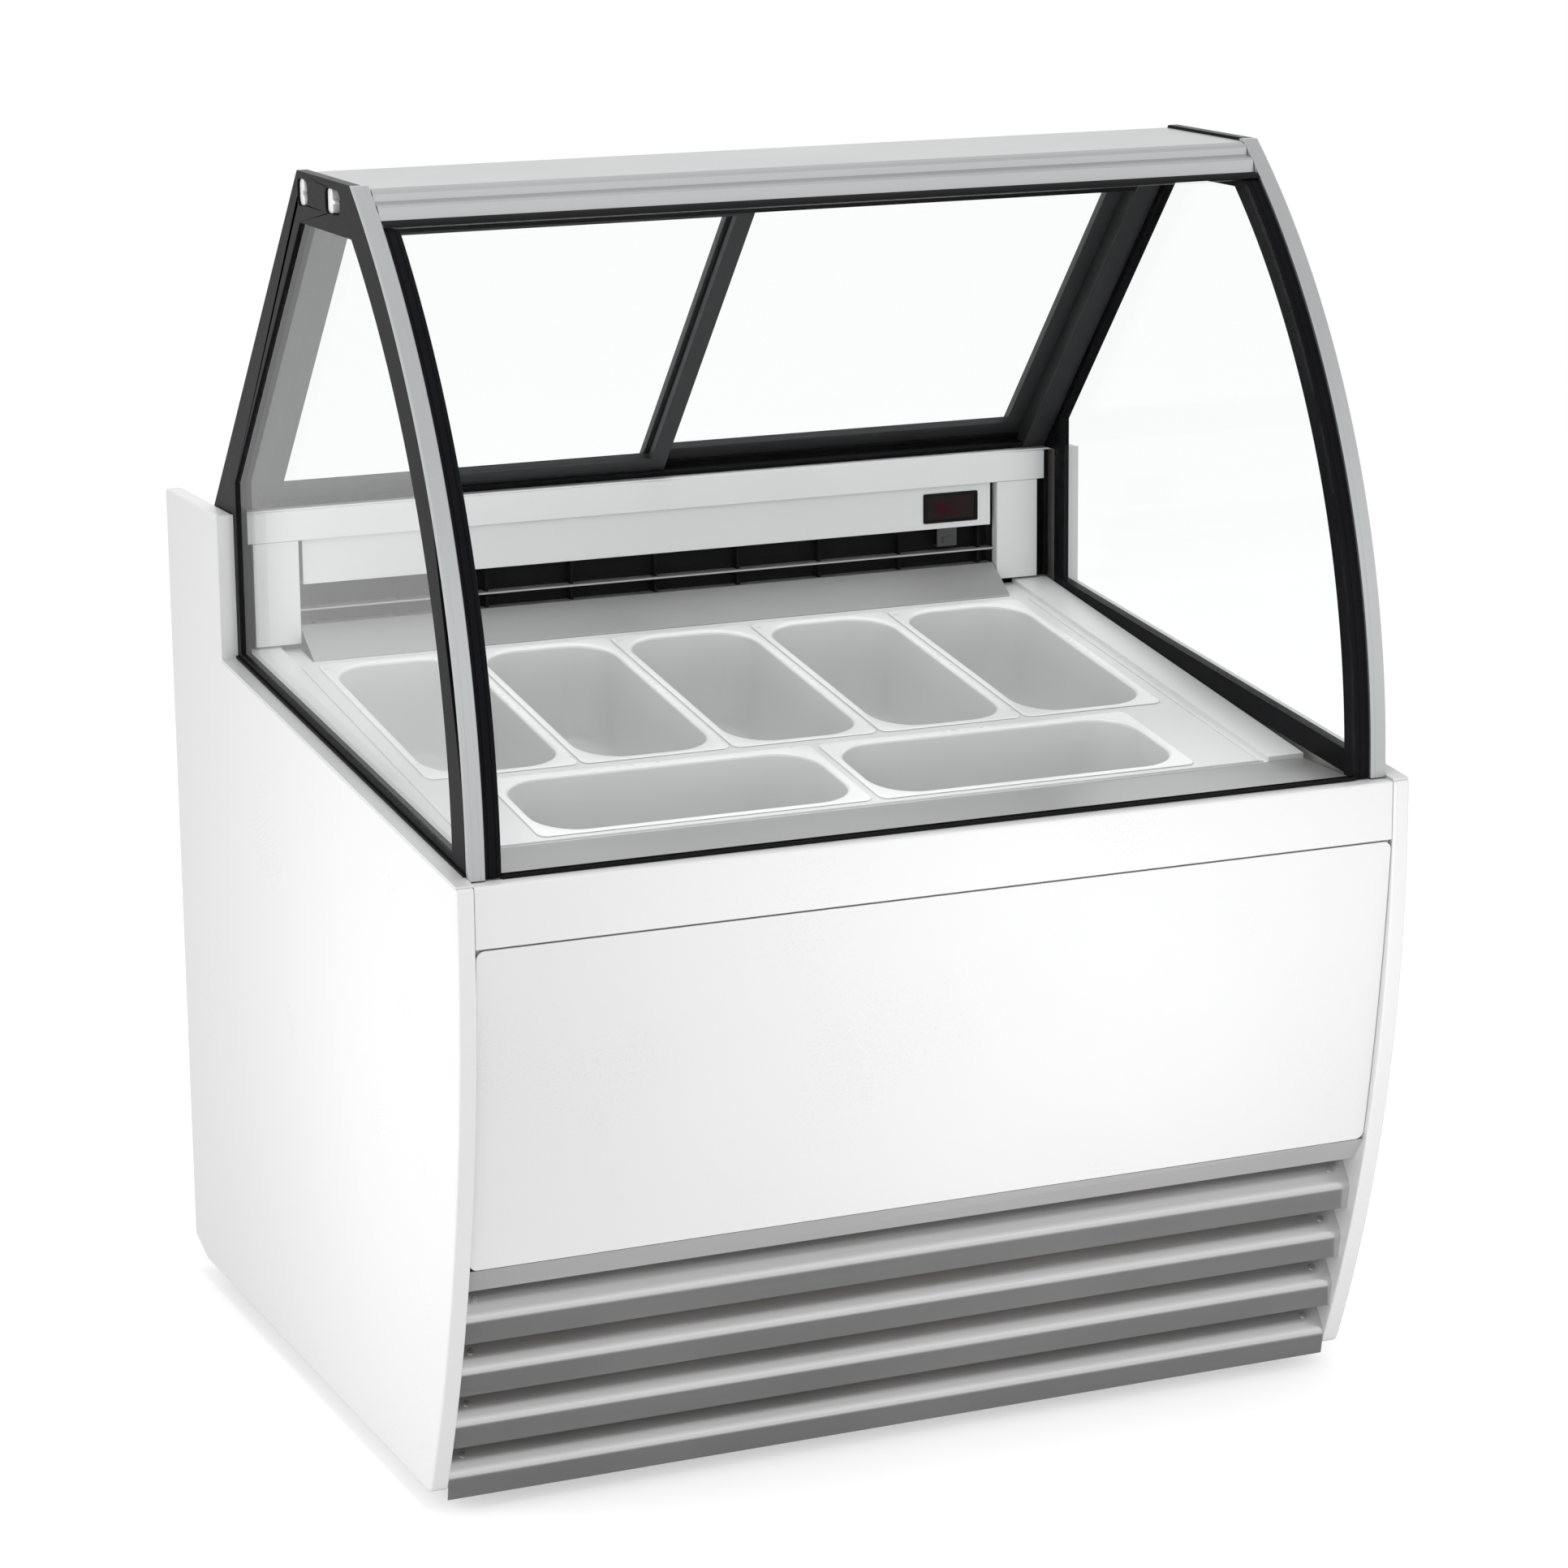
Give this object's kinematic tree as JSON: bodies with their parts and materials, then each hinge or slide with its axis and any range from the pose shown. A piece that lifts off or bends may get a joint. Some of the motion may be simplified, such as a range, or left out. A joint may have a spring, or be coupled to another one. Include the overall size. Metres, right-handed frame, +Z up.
{
  "type": "ice cream dipping cabinet",
  "caption": "Refrigerated dipping cabinet with a sloping deck of lift-out pans under a curved glass canopy, rear sliding doors and a louvred skirt.",
  "frame": {"origin": "on the floor under the middle of the cabinet's width and depth", "axes": "+X across the cabinet, to the right as the customer faces it; +Y from the customer's side to the operator's side; +Z up"},
  "size_m": [1.026, 0.94, 1.296],
  "materials": {
    "white_paint": "smooth white, on a light cored panel",
    "front_paint": "smooth off-white stoving enamel",
    "slat_metal": "satin, lightly brushed along its length",
    "trim_aluminium": "satin anodised",
    "dark_aluminium": "dark satin anodised",
    "stainless": "fine brushed",
    "pan_steel": "bright drawn with satin walls",
    "liner_grey": "light grey enamel",
    "black_enamel": "gloss black",
    "black_rubber": "matte black",
    "black_plastic": "fine matte",
    "clear_glass": "clear, polished",
    "display_glass": "dark tinted window",
    "diffuser": "opal",
    "foam": null,
    "frame_steel": "zinc grey",
    "black_steel": "black enamel",
    "fin_metal": "mill finish fins",
    "copper": "drawn copper tube",
    "green_plastic": "translucent green",
    "screw_steel": "bright"
  },
  "bodies": {
    "cabinet": {"base_frame": "frame_steel", "levelling_feet": "black_rubber", "left_end_panel": "white_paint", "right_end_panel": "white_paint", "edge_trims": "trim_aluminium", "front_fascia": "front_paint", "front_panel": "front_paint", "front_return_strip": "slat_metal", "louvre_slats": "slat_metal", "rear_service_grille": "stainless", "control_panel": "stainless", "rear_counter": "liner_grey", "insulated_tub": "foam", "tub_liner": "stainless", "deck_frame": "liner_grey", "front_ledge": "stainless", "return_grille": "black_plastic", "rear_slope": "stainless", "air_outlet": "black_plastic", "display_panel": "liner_grey", "display_window": "display_glass", "rear_fascia": "liner_grey", "rear_columns": "liner_grey", "header_beam": "trim_aluminium", "lamp_diffuser": "diffuser", "left_end_frame": "black_enamel", "right_end_frame": "black_enamel", "left_side_glass": "clear_glass", "right_side_glass": "clear_glass", "corner_trims": "trim_aluminium", "rear_posts": "dark_aluminium", "door_tracks": "black_plastic", "compressor": "black_steel", "condenser_coil": "fin_metal", "condenser_fan_housing": "black_steel", "evaporator_coil": "fin_metal", "evaporator_fan_housing": "black_plastic", "refrigerant_pipes": "copper", "condensate_tray": "stainless", "controller": "black_plastic", "power_inlet": "black_plastic", "fasteners": "screw_steel"},
    "front_glass": {"front_glass": "clear_glass", "front_glass_seals": "black_enamel", "front_glass_gasket": "black_rubber"},
    "left_door": {"left_door_frame": "dark_aluminium", "left_door_glass": "clear_glass"},
    "right_door": {"right_door_frame": "dark_aluminium", "right_door_glass": "clear_glass"},
    "condenser_fan": {"condenser_fan_blade": "black_plastic"},
    "evaporator_fan": {"evaporator_fan_blade": "black_plastic"},
    "power_switch": {"power_switch": "green_plastic"},
    "light_switch": {"light_switch": "black_plastic"},
    "defrost_button": {"defrost_button": "black_plastic"},
    "rear_pan_1": {"rear_pan_1": "pan_steel"},
    "rear_pan_2": {"rear_pan_2": "pan_steel"},
    "rear_pan_3": {"rear_pan_3": "pan_steel"},
    "rear_pan_4": {"rear_pan_4": "pan_steel"},
    "rear_pan_5": {"rear_pan_5": "pan_steel"},
    "front_pan_1": {"front_pan_1": "pan_steel"},
    "front_pan_2": {"front_pan_2": "pan_steel"}
  },
  "joints": [
    {"name": "front_glass_hinge", "type": "hinge", "parent": "cabinet", "child": "front_glass", "pos_m": [0, -0.205, 1.2583], "axis": [-1, 0, 0], "range_deg": [0, 70]},
    {"name": "left_door_slide", "type": "slide", "parent": "cabinet", "child": "left_door", "axis": [1, 0, 0], "range_m": [0, 0.42]},
    {"name": "right_door_slide", "type": "slide", "parent": "cabinet", "child": "right_door", "axis": [1, 0, 0], "range_m": [-0.42, 0]},
    {"name": "rear_pan_1_lift", "type": "slide", "parent": "cabinet", "child": "rear_pan_1", "axis": [0, -0.1392, 0.9903], "range_m": [0, 0.15]},
    {"name": "rear_pan_2_lift", "type": "slide", "parent": "cabinet", "child": "rear_pan_2", "axis": [0, -0.1392, 0.9903], "range_m": [0, 0.15]},
    {"name": "rear_pan_3_lift", "type": "slide", "parent": "cabinet", "child": "rear_pan_3", "axis": [0, -0.1392, 0.9903], "range_m": [0, 0.15]},
    {"name": "rear_pan_4_lift", "type": "slide", "parent": "cabinet", "child": "rear_pan_4", "axis": [0, -0.1392, 0.9903], "range_m": [0, 0.15]},
    {"name": "rear_pan_5_lift", "type": "slide", "parent": "cabinet", "child": "rear_pan_5", "axis": [0, -0.1392, 0.9903], "range_m": [0, 0.15]},
    {"name": "front_pan_1_lift", "type": "slide", "parent": "cabinet", "child": "front_pan_1", "axis": [0, -0.1392, 0.9903], "range_m": [0, 0.15]},
    {"name": "front_pan_2_lift", "type": "slide", "parent": "cabinet", "child": "front_pan_2", "axis": [0, -0.1392, 0.9903], "range_m": [0, 0.15]},
    {"name": "condenser_fan_spin", "type": "hinge", "parent": "cabinet", "child": "condenser_fan", "pos_m": [-0.175, -0.186, 0.182], "axis": [0, 1, 0], "continuous": true},
    {"name": "evaporator_fan_spin", "type": "hinge", "parent": "cabinet", "child": "evaporator_fan", "pos_m": [0, -0.007, 0.492], "axis": [0, 1, 0], "continuous": true},
    {"name": "power_switch_rock", "type": "hinge", "parent": "cabinet", "child": "power_switch", "pos_m": [0.06, 0.459, 0.318], "axis": [1, 0, 0], "range_deg": [0, 16]},
    {"name": "light_switch_rock", "type": "hinge", "parent": "cabinet", "child": "light_switch", "pos_m": [0.1, 0.459, 0.318], "axis": [1, 0, 0], "range_deg": [0, 16]},
    {"name": "defrost_button_press", "type": "slide", "parent": "cabinet", "child": "defrost_button", "axis": [0, -1, 0], "range_m": [0, 0.003], "stiffness_N_per_m": 300}
  ]
}
